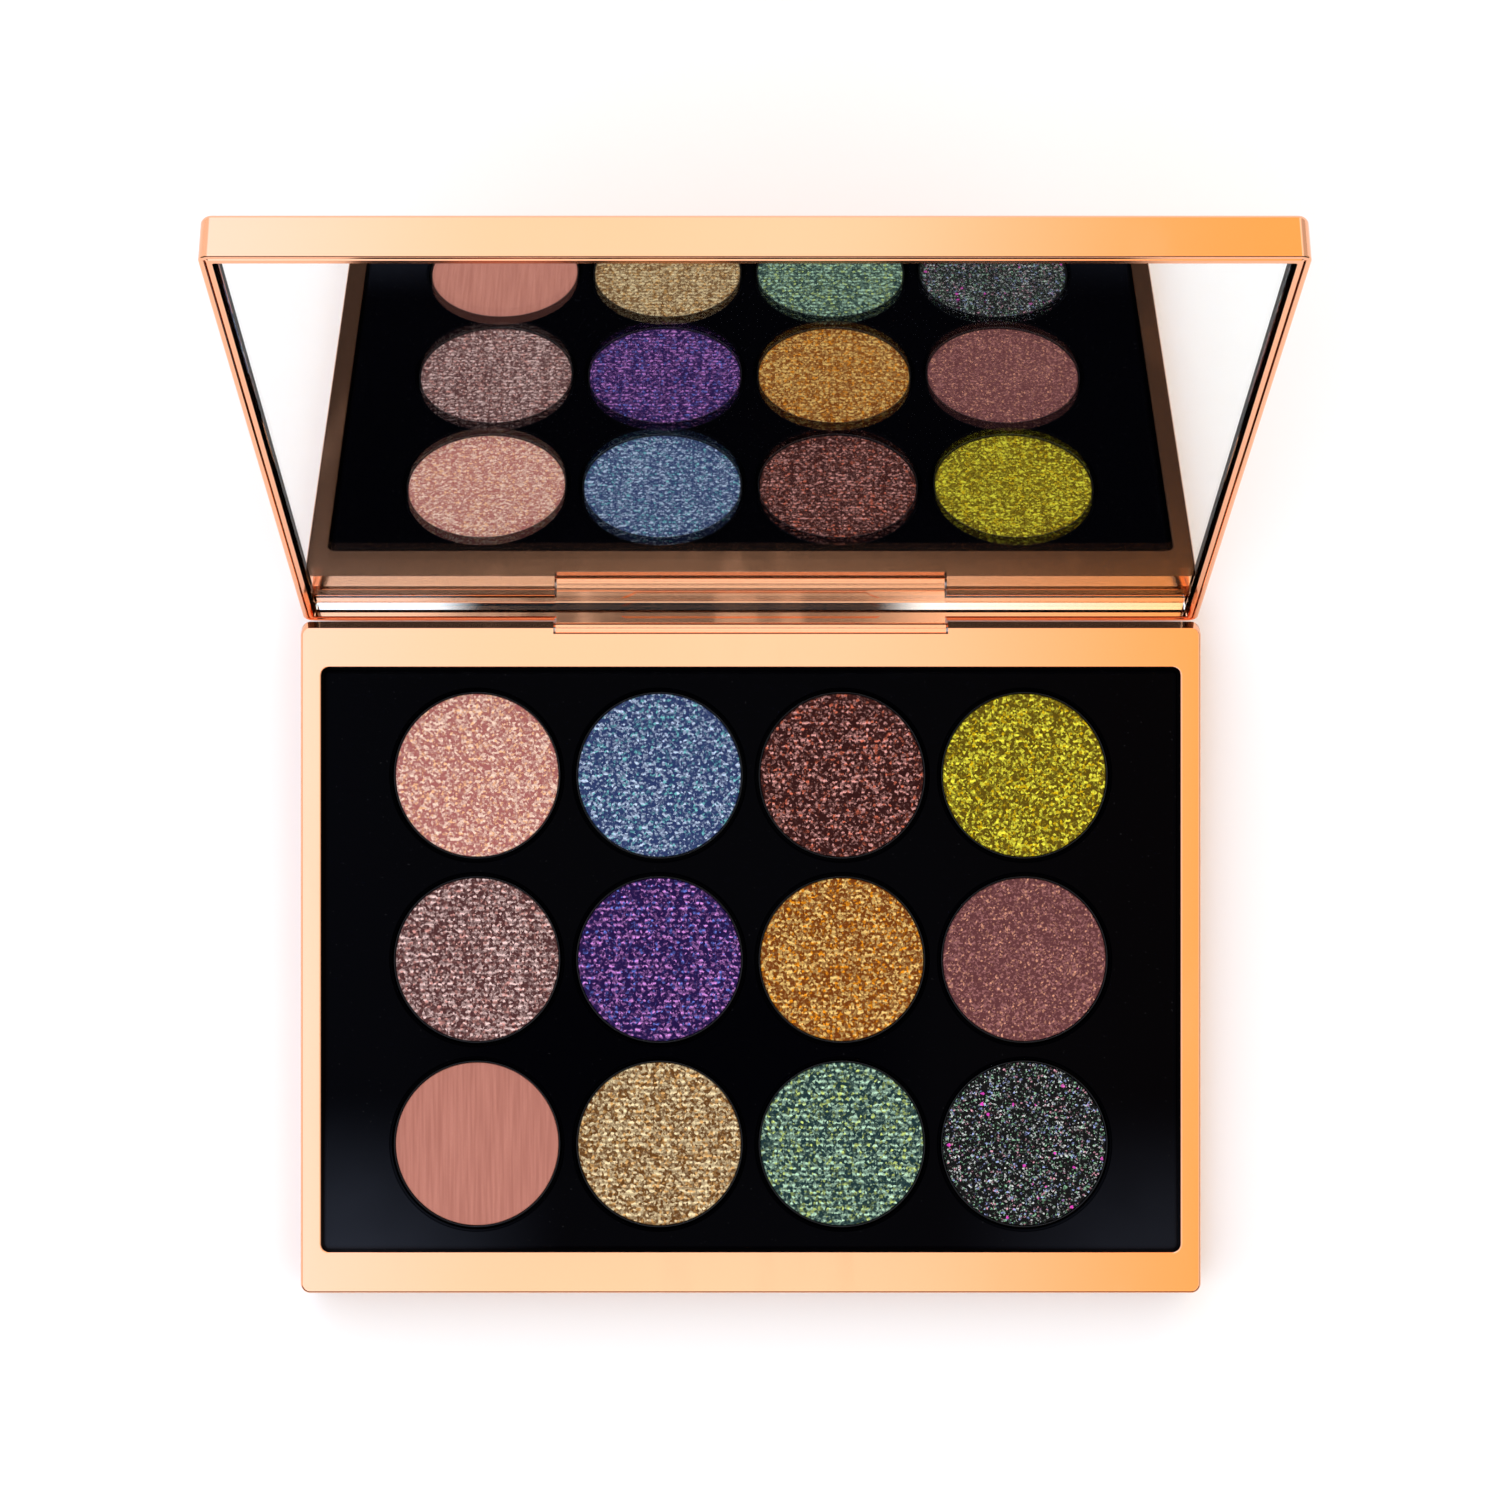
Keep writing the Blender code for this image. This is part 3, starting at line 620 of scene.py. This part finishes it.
# %% Make the tray
TRAY_EDGE = 0.9 * MM
WELL_LIP = 0.35 * MM
WELL_WALL = 0.8 * MM
WELL_FLOOR = 0.9 * MM
FLANGE_THICKNESS = 1.0 * MM
face_top = tray_high[2]
flange_top = DECK_TOP - DECK - GAP
run_in, drop = edge_arc(TRAY_EDGE)
tray_half = opening_x - GAP
tray_front = opening_low + GAP
tray_back = opening_high - GAP
tray_corner = OPENING_CORNER - GAP
flange_rows = rounded_rows(
    tray_high[0], tray_low[1], tray_high[1], OPENING_CORNER, [flange_top - FLANGE_THICKNESS, flange_top]
)
wall_row = rounded_rows(tray_half, tray_front, tray_back, tray_corner, flange_top)
edge_rows = rounded_rows(
    tray_half - run_in,
    tray_front + run_in,
    tray_back - run_in,
    np.maximum(tray_corner - run_in, 0.1 * MM),
    face_top - drop,
)
tray = skin("black_tray", np.concatenate([flange_rows, wall_row, edge_rows]), black)

well_radius = PAN_RADIUS + GAP
well_floor = tray_low[2] + WELL_FLOOR
lip_out, lip_down = edge_arc(WELL_LIP)
for node, centre in centres.items():
    cup_height = [tray_low[2], flange_top - FLANGE_THICKNESS / 2]
    cup = skin("cup", turned_rows([well_radius + WELL_WALL] * 2, cup_height, centre), black)
    shape_with(tray, cup, "UNION")
for node, centre in centres.items():
    lip_radius = well_radius + lip_out
    lip_height = face_top - lip_down[::-1]
    radius = np.concatenate([[well_radius], lip_radius, [lip_radius[-1]]])
    height = np.concatenate([[well_floor], lip_height, [face_top + PAST]])
    shape_with(tray, skin("well", turned_rows(radius, height, centre), black), "DIFFERENCE")
shade_flats(tray)
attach(tray, "base")
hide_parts("pan_tray")
print("tray faces:", len(tray.data.polygons))

# %% Make the pans
PAN_SHEET = 0.25 * MM
PAN_BEND = 0.5 * MM


def pan_profile(low, high):
    """A stamped cup: flat floor, a bend, an upright wall with a round lip, and down inside."""
    bend_in, bend_up = edge_arc(PAN_BEND)
    lip = np.radians(np.linspace(0, 180, 9))
    middle = PAN_RADIUS - PAN_SHEET / 2
    radius = np.concatenate(
        [
            (PAN_RADIUS - bend_in)[::-1],
            middle + PAN_SHEET / 2 * np.cos(lip),
            [PAN_RADIUS - PAN_SHEET, PAN_RADIUS - PAN_SHEET - PAN_BEND],
        ]
    )
    height = np.concatenate(
        [
            (low + bend_up)[::-1],
            high - PAN_SHEET / 2 + PAN_SHEET / 2 * np.sin(lip),
            [low + PAN_SHEET + PAN_BEND, low + PAN_SHEET],
        ]
    )
    return radius, height


for node in pan_nodes:
    low, high = pan_boxes[node]
    radius, height = pan_profile(low[2], high[2])
    pan = skin(f"tin_{node}", turned_rows(radius, height, centres[node]), tinplate)
    shade_flats(pan)
    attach(pan, "base")
    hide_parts(node)
print("pans made:", len(pan_nodes))

# %% [markdown]
# ## Pressed powder
# A powder cake is pressed under a ribbed cloth, so its top carries fine ribs with grain between
# them. Shimmer shades are full of mica flakes. Each flake is a cell of a Voronoi pattern with a
# brightness and a colour of its own, and the ribs and the grain are real relief in the mesh. The
# colour also holds painted shade, darker in the rib valleys, and a painted glint on every flake.

# %% The powder shades
# Each shade: its darkest grains, its average and its brightest flakes, a second colour of flake,
# grains to the metre, how deep the ribs are from 0 to 1, which also sets how much darker the rib
# valleys are painted as painted shade, and how metallic its flakes are.
SHADES = {
    "rose_gold": ((192, 112, 108), (232, 162, 152), (255, 222, 200), (252, 200, 150), 2750, 0.35, 0.35),
    "steel_blue": ((44, 62, 114), (98, 120, 162), (206, 226, 255), (120, 206, 206), 2750, 0.40, 0.40),
    "cocoa": ((54, 14, 10), (110, 60, 50), (240, 172, 164), (232, 120, 90), 2700, 0.35, 0.40),
    "chartreuse": ((104, 82, 0), (178, 154, 10), (255, 246, 70), (225, 190, 0), 2700, 0.30, 0.45),
    "mauve_taupe": ((86, 46, 46), (160, 115, 112), (255, 218, 212), (222, 160, 150), 2600, 0.75, 0.40),
    "violet": ((30, 6, 74), (78, 48, 124), (226, 150, 236), (110, 130, 230), 2600, 0.55, 0.40),
    "amber": ((128, 60, 0), (205, 130, 38), (255, 214, 128), (250, 160, 20), 2700, 0.50, 0.50),
    "dusty_plum": ((106, 58, 60), (125, 77, 77), (160, 106, 104), (226, 160, 130), 3500, 0.25, 0.10),
    "terracotta": ((190, 122, 107), (195, 128, 112), (204, 138, 122), (206, 142, 124), 3600, 0.0, 0.0),
    "antique_gold": ((108, 66, 22), (195, 150, 96), (255, 232, 184), (230, 180, 110), 2500, 0.80, 0.45),
    "sea_green": ((22, 52, 56), (90, 124, 116), (200, 240, 208), (215, 236, 130), 2500, 0.70, 0.40),
    "night_glitter": ((8, 8, 8), (44, 46, 45), (226, 232, 230), (190, 200, 200), 3700, 0.10, 0.25),
}
RIB_PITCH = 0.9 * MM


# Painted glint: every flake's colour is painted this much brighter than its own colour, as if each flake
# faced the light.
GLINT = 1.35  # a flake that faces the light outshines its own colour by this much


def screen(light):
    """The screen value from 0 to 255 of linear light, which clips at white."""
    light = np.clip(light, 0, 1)
    return 255 * np.where(light <= 0.0031308, 12.92 * light, 1.055 * light ** (1 / 2.4) - 0.055)


HALVINGS = 24


def spread(dark, middle, bright, ribs):
    """The power p for which grains of brightness u^p average the middle colour, by halving."""
    random = np.random.default_rng(7)
    grain = np.clip((0.7 * random.random(9000) + 0.3 * random.random(9000) - 0.12) / 0.76, 0, 1)
    rib_valley_shade_mask = 0.5 + 0.5 * np.sin(2 * math.pi * random.random(9000))
    # Grains in the rib valleys are made darker here, as in the painted shade of the powder colour.
    height = grain**2 * (3 - 2 * grain) * (1 - 0.55 * ribs * rib_valley_shade_mask)
    low = np.array(linear(*dark)[:3])
    high = GLINT * np.array(linear(*bright)[:3])
    least, most = 0.2, 12.0
    for _ in range(HALVINGS):
        power = (least + most) / 2
        grains = screen(low + (high - low) * height[:, None] ** power)
        if grains.mean() > np.mean(middle):
            least = power
        else:
            most = power
    return power


def powder_finish(shade, values):
    """Pressed powder: grains are cells of random brightness raised to a power, with painted shade in the rib
    valleys and a painted glint on the flakes.
    """
    dark, middle, bright, second, count, ribs, shine = values
    made, shader, place = start_material(f"powder_{shade}")
    waver = place.noise(420.0, 2.0) * 0.0006 + place.part("Y")
    rib_valley_shade_mask = 0.5 + 0.5 * waver.math("SINE", waver * (2 * math.pi / RIB_PITCH))
    cells = {"Vector": place, "Scale": float(count)}
    chance = place.make("ShaderNodeTexVoronoi", {}, cells, 1)
    small = place.make("ShaderNodeTexVoronoi", {}, {"Vector": place, "Scale": 1.7 * count}, 1)
    grain = chance.part("X") * 0.7 + small.part("X") * 0.3
    # Painted shade: grains in the rib valleys are darkened in the colour as well as in the bump.
    height = grain.between(0.12, 0.88) * (1.0 - 0.55 * ribs * rib_valley_shade_mask)
    glow = height ** spread(dark, middle, bright, ribs)
    # Both flake colours carry the painted glint of GLINT.
    flake = chance.part("Y").between(0.70, 0.78).blend(lit(*bright, GLINT), lit(*second, GLINT))
    if shade == "night_glitter":
        hue = chance.part("Z")
        green_or_blue = hue.between(0.55, 0.59).blend(lit(150, 205, 165, GLINT), lit(165, 180, 235, GLINT))
        flake = chance.part("Y").between(0.45, 0.50).blend(flake, green_or_blue)
        coarse = place.make("ShaderNodeTexVoronoi", {}, {"Vector": place, "Scale": 2300.0}, 1)
        large = coarse.part("X").between(0.991, 0.994)
        pink = hue.between(0.86, 0.88).blend(flake, lit(235, 170, 190, GLINT))
        flake = large.blend(pink, lit(235, 70, 200, GLINT))
        glow = glow + 0.7 * large
    if shade == "terracotta":
        height = place.stretched(1.0, 0.04, 1.0).noise(2300.0, 2.0)
        glow = height.between(0.20, 0.80) * 0.45
    feed(
        shader,
        Base_Color=glow.blend(lit(*dark), flake),
        Metallic=shine * glow,
        Roughness=0.75 - 0.35 * glow,
        Normal=height.bump(0.00005, 0.5),
    )
    shader.inputs["Specular IOR Level"].default_value = 0.15
    return made


powder_finishes = {shade: powder_finish(shade, values) for shade, values in SHADES.items()}
print("powder shades:", len(powder_finishes))

# %% Make the powder cakes
GRID = 120
CAKE_ROUND = 0.22 * MM
CAKE_GAP = 0.06 * MM
RIB_DEPTH = 0.06  # of the deepest ribs, in millimetres


def disc_grid():
    """A square grid bent into a disc: x = u root(1 - v^2/2), y = v root(1 - u^2/2)."""
    line = np.linspace(-1, 1, GRID)
    u, v = np.meshgrid(line, line, indexing="ij")
    return u * np.sqrt(1 - v**2 / 2), v * np.sqrt(1 - u**2 / 2)


def smooth_noise(x, y, size, seed):
    """A sum of twelve sine waves of about one wavelength, each at a random angle and phase."""
    random = np.random.default_rng(seed)
    turn = random.uniform(0, 2 * math.pi, 12)
    phase = random.uniform(0, 2 * math.pi, 12)
    length = size * random.uniform(0.7, 1.4, 12)
    along = np.multiply.outer(x, np.cos(turn)) + np.multiply.outer(y, np.sin(turn))
    return np.sin(2 * math.pi * along / length + phase).mean(-1)


def cake_relief(x, y, depth, seed):
    """Height of the pressed top: ribs along X that wander a little, and grain between them."""
    wander = 0.25 * MM * smooth_noise(x, y, 6.0 * MM, seed)
    ribs = 0.5 - 0.5 * np.cos(2 * math.pi * (y + wander) / RIB_PITCH)
    grain = smooth_noise(x, y, 0.8 * MM, seed + 1)
    return -depth * MM * ribs**3 + (0.006 + 0.25 * depth) * MM * grain


def rim_walk():
    """Grid positions round the edge of the square, in order and each corner once."""
    last = GRID - 1
    step = np.arange(last)
    rows = np.concatenate([step, np.full(last, last), last - step, np.zeros(last, int)])
    columns = np.concatenate([np.zeros(last, int), step, np.full(last, last), last - step])
    return rows * GRID + columns


def cake(name, low, high, centre, depth, seed, finish):
    """A powder cake: the pressed disc, a rounded shoulder, and a wall down to a flat bottom."""
    x, y = disc_grid()
    radius = PAN_RADIUS - PAN_SHEET - CAKE_GAP
    shoulder = radius - CAKE_ROUND
    crown = high - 0.02 * MM
    reach = np.clip((1 - np.hypot(x, y)) * 12, 0, 1)
    top = np.stack(
        [
            centre[0] + x * shoulder,
            centre[1] + y * shoulder,
            crown + cake_relief(x * shoulder, y * shoulder, depth, seed) * reach,
        ],
        axis=-1,
    ).reshape(-1, 3)
    walk = rim_walk()
    ring = top[walk] - np.array([*centre, 0.0])
    out_by, down_by = edge_arc(CAKE_ROUND)
    out_by = CAKE_ROUND - out_by[::-1]
    steps = np.concatenate([out_by[1:], [CAKE_ROUND]])
    heights = np.concatenate([crown - down_by[::-1][1:], [low]])
    widen = (shoulder + steps)[:, None, None] / shoulder
    walls = np.concatenate([np.broadcast_to(ring[None, :, :2] * widen, (len(steps), len(walk), 2)),
                            np.broadcast_to(heights[:, None, None], (len(steps), len(walk), 1))], axis=-1)
    walls = walls + np.array([*centre, 0.0])
    points = np.concatenate([top, walls.reshape(-1, 3)])

    cell = np.arange(GRID - 1)
    row, column = np.meshgrid(cell, cell, indexing="ij")
    first = (row * GRID + column).ravel()
    faces = np.stack([first, first + GRID, first + GRID + 1, first + 1], axis=-1)
    around = len(walk)
    rings = np.concatenate([walk[None], len(top) + np.arange(len(steps) * around).reshape(-1, around)])
    after = np.roll(rings, -1, axis=1)
    sides = np.stack([rings[:-1], after[:-1], after[1:], rings[1:]], axis=-1).reshape(-1, 4)
    all_faces = faces.tolist() + sides.tolist() + [rings[-1].tolist()]
    return solid(name, points, all_faces, finish)


for number, (shade, values) in enumerate(SHADES.items()):
    node = f"powder_{shade}"
    low, high = (np.array(v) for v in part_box(node))
    centre = (low + high)[:2] / 2
    depth = RIB_DEPTH * values[5]
    made = cake(f"cake_{shade}", low[2], high[2], centre, depth, 10 * number, powder_finishes[shade])
    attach(made, "base")
    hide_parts(node)
print("triangles in a cake:", sum(len(p.vertices) - 2 for p in made.data.polygons))

# %% [markdown]
# ## The lid's cover
# The cover is a shallow tray turned upside down over the mirror frame. Its section runs up the
# outside, round a generous edge to the back, and returns inside. The rear wall is cut away where
# the knuckle comes out.

# %% Make the cover
COVER_WALL = 0.8 * MM
COVER_EDGE = 1.0 * MM
RIM_EDGE = 0.3 * MM
KNUCKLE_ROOT = 1.2 * MM
rim = cover_low[2]
back = cover_high[2]
plate_face = inner_high[2] + GAP


def lid_rows(inset, height, corner):
    """Rows that follow the lid's outline, each drawn in by its own amount."""
    inset = np.asarray(inset, float)
    return rounded_rows(HALF_X - inset, -HALF_Y + inset, HALF_Y - inset, corner, height)


rim_in, rim_up = edge_arc(RIM_EDGE)
back_in, back_down = edge_arc(COVER_EDGE)
lip_half = RIM_EDGE / 3
cover_inset = np.concatenate(
    [back_in[::-1], rim_in, [COVER_WALL - lip_half, COVER_WALL, COVER_WALL]]
)
cover_height = np.concatenate(
    [back - back_down[::-1], rim + rim_up, [rim, rim + lip_half, plate_face]]
)
cover_corner = np.concatenate(
    [CORNER - back_in[::-1], CORNER - rim_in, [CORNER - COVER_WALL] * 3]
)
cover = skin("gold_lid_cover", lid_rows(cover_inset, cover_height, cover_corner), gold)
room = block(
    (-notch_half, HALF_Y - COVER_WALL - PAST, rim - PAST),
    (notch_half, HALF_Y + PAST, rim + KNUCKLE_ROOT + GAP),
    "knuckle_room",
)
shape_with(cover, room, "DIFFERENCE")


def open_lid_piece(piece, node):
    """Swings a piece from shut to open, and puts it on the lid in a CAD node's place."""
    points = swing(mesh_points(piece.data), OPEN_TURN)
    piece.data.vertices.foreach_set("co", points.astype(np.float32).ravel())
    piece.data.update()
    shade_flats(piece)
    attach(piece, "lid")
    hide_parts(node)
    return piece


open_lid_piece(cover, "lid_cover")
print("cover faces:", len(cover.data.polygons))

# %% [markdown]
# ## The mirror frame and its knuckle
# The frame nests in the cover with a hairline seam between them. It holds the mirror in a recess,
# and the knuckle grows out of its rear lip: an arm that ends in a round barrel. A shallow tapered
# pocket is pressed into the arm's inner face.

# %% Make the mirror frame
LIP_EDGE = 0.15 * MM
POCKET_WIDE = 20.25 * MM
POCKET_NARROW = 18.0 * MM
POCKET_DEPTH = 0.35 * MM
POCKET_HEIGHT = 1.1 * MM
SEAM = 0.08 * MM
frame_inset = COVER_WALL + SEAM
web_back = inner_high[2]
web_face = shut_box("lid_magnet_left")[0][2]
arm_inner = HALF_Y - RIM
arm_outer = AXIS[1] + BARREL

body = skin(
    "gold_lid_frame",
    lid_rows([frame_inset, frame_inset, frame_inset + LIP_EDGE], [web_back, rim + LIP_EDGE, rim], 0.4 * MM),
    gold,
)
inner_turn = math.degrees(math.acos((arm_inner - AXIS[1]) / BARREL))
knuckle_profile = np.concatenate(
    [
        [[arm_outer, rim + KNUCKLE_ROOT]],
        arc(AXIS[1:], BARREL, 0.0, inner_turn - 360.0),
        [[arm_inner, rim + KNUCKLE_ROOT]],
    ]
)
shape_with(body, across(knuckle_profile, knuckle_half, "knuckle"), "UNION")
recess_rows = lid_rows([RIM, RIM], [rim - PAST, web_face], 0.3 * MM)
shape_with(body, skin("recess", recess_rows, gold), "DIFFERENCE")

wide = rim
narrow = rim - POCKET_HEIGHT
pocket_plan = np.array(
    [[-POCKET_NARROW, narrow], [POCKET_NARROW, narrow], [POCKET_WIDE, wide], [-POCKET_WIDE, wide]]
)
pocket_rows = np.stack(
    [
        np.column_stack([pocket_plan[:, 0], np.full(4, y), pocket_plan[:, 1]])
        for y in (arm_inner - PAST, arm_inner + POCKET_DEPTH)
    ]
)
shape_with(body, skin("pocket", pocket_rows, gold), "DIFFERENCE")
open_lid_piece(body, "lid_frame")
print("mirror frame faces:", len(body.data.polygons))

# %% [markdown]
# ## The mirror
# Silver behind clear glass, as in a real mirror. Light bends on its way through the glass, which
# lifts the reflection towards the eye and shows the pane's thickness at its bevelled edge.

# %% Make the mirror
BEVEL = 0.2 * MM
SILVER = 0.1 * MM
HAIRLINE = 0.01 * MM
glass_inset = HALF_X - glass_high[0]
silver_face = glass_high[2] - SILVER
pane = skin(
    "mirror_pane",
    lid_rows(
        [glass_inset + BEVEL, glass_inset, glass_inset],
        [glass_low[2], glass_low[2] + BEVEL, silver_face - HAIRLINE],
        [0.15 * MM, 0.3 * MM, 0.3 * MM],
    ),
    clear_glass,
)
coating = skin(
    "mirror_silver",
    lid_rows([glass_inset] * 2, [silver_face, glass_high[2]], 0.3 * MM),
    silver,
)
for piece in (pane, coating):
    open_lid_piece(piece, "mirror")
print("mirror size mm:", np.round((glass_high - glass_low) * 1000, 1))

# %% [markdown]
# ## Pieces that keep their shape
# The base plate, label, tape, glue, magnets and pins are already the right shape, so they only need
# finishes. Assigning to the material slots leaves their meshes untouched.

# %% Finish the remaining pieces
FINISH_BY_NAME = {
    "base_bottom": gold,
    "underside_label": paper,
    "mirror_tape": foam,
    "glue_dot": glue,
    "base_magnet": magnet_nickel,
    "lid_magnet": magnet_nickel,
    "hinge_pin": pin_steel,
}
for node, piece in frame["nodes"].items():
    for start, finish in FINISH_BY_NAME.items():
        if node.startswith(start):
            piece.data.materials.clear()
            piece.data.materials.append(finish)
print("kept:", sum(not piece.hide_render for piece in frame["nodes"].values()))

# %% [markdown]
# ## Floor and light
# The palette lies on a plain white sweep in a bright studio, so that paper and mirror both clip to
# white and gold deepens to orange where it reflects gold. The sky is a little blue on the left and
# has a warm card on the right, and is dimmer low down at each side. The low front is dark. So is a
# small patch overhead, where the camera hangs. The corner between knuckle and mirror looks back at it.

# %% Floor, world and lamps
FLOOR_HALF = 3.0
bpy.ops.mesh.primitive_plane_add(size=2 * FLOOR_HALF, location=(0, 0, -0.05 * MM))
floor = bpy.context.object
floor.name = "floor"
floor_finish, floor_shader, floor_place = start_material("floor_white")
paleness = floor_place.noise(6.0, 2.0)
feed(
    floor_shader,
    Base_Color=paleness.blend(linear(253, 253, 253), linear(250, 250, 250)),
    Roughness=0.9,
)
floor.data.materials.append(floor_finish)

world = bpy.data.worlds.new("studio")
world.use_nodes = True
bpy.context.scene.world = world
background = world.node_tree.nodes["Background"]
sky = world.node_tree.nodes.new("ShaderNodeTexCoord")
direction = Wire(world.node_tree, sky.outputs["Generated"])
across_sky = direction.part("X")
along_sky = direction.part("Y")
height = direction.part("Z")
WHITE = (1.0, 1.0, 1.0, 1.0)
room = across_sky.between(-0.19, -0.06).blend((1.0, 1.2, 1.6, 1.0), WHITE)
room = across_sky.between(-0.50, -0.24).blend((0.72, 0.72, 0.72, 1.0), room)
warm_card = across_sky.between(0.02, 0.17) * (1.0 - across_sky.between(0.22, 0.34))
room = warm_card.blend(room, (1.0, 0.60, 0.22, 1.0))
room = across_sky.between(0.34, 0.60).blend(room, (0.46, 0.46, 0.44, 1.0))
low_front = (1.0 - height.between(0.664, 0.700)) * (1.0 - along_sky.between(-0.45, -0.25))
room = low_front.blend(room, (0.03, 0.03, 0.032, 1.0))
camera_x = across_sky.between(-0.10, -0.08) * (1.0 - across_sky.between(0.045, 0.065))
camera_y = along_sky.between(-0.105, -0.085) * (1.0 - along_sky.between(-0.050, -0.030))
overhead = camera_x * camera_y * height.between(0.5, 0.9)
tone = overhead.blend(room, (0.010, 0.012, 0.014, 1.0))
rays = world.node_tree.nodes.new("ShaderNodeLightPath")
seen = Wire(world.node_tree, rays.outputs["Is Camera Ray"])
world.node_tree.links.new(seen.blend(tone, WHITE).socket, background.inputs["Color"])
background.inputs["Strength"].default_value = SKY


def soft_light(name, place, size, power, aim=(0, 0, 0)):
    """A square lamp that faces a point."""
    lamp = bpy.data.lights.new(name, "AREA")
    lamp.size = size
    lamp.energy = power
    made = bpy.data.objects.new(name, lamp)
    made.location = place
    toward = Vector(aim) - Vector(place)
    made.rotation_euler = toward.to_track_quat("-Z", "Y").to_euler()
    made.visible_glossy = False
    bpy.context.scene.collection.objects.link(made)
    return made


soft_light("key", (-0.9, -0.5, 1.1), 1.2, 3.9)
soft_light("fill", (0.9, -0.4, 1.1), 1.2, 2.7)
bpy.context.scene.view_settings.view_transform = "Standard"
bpy.context.scene.view_settings.look = "None"
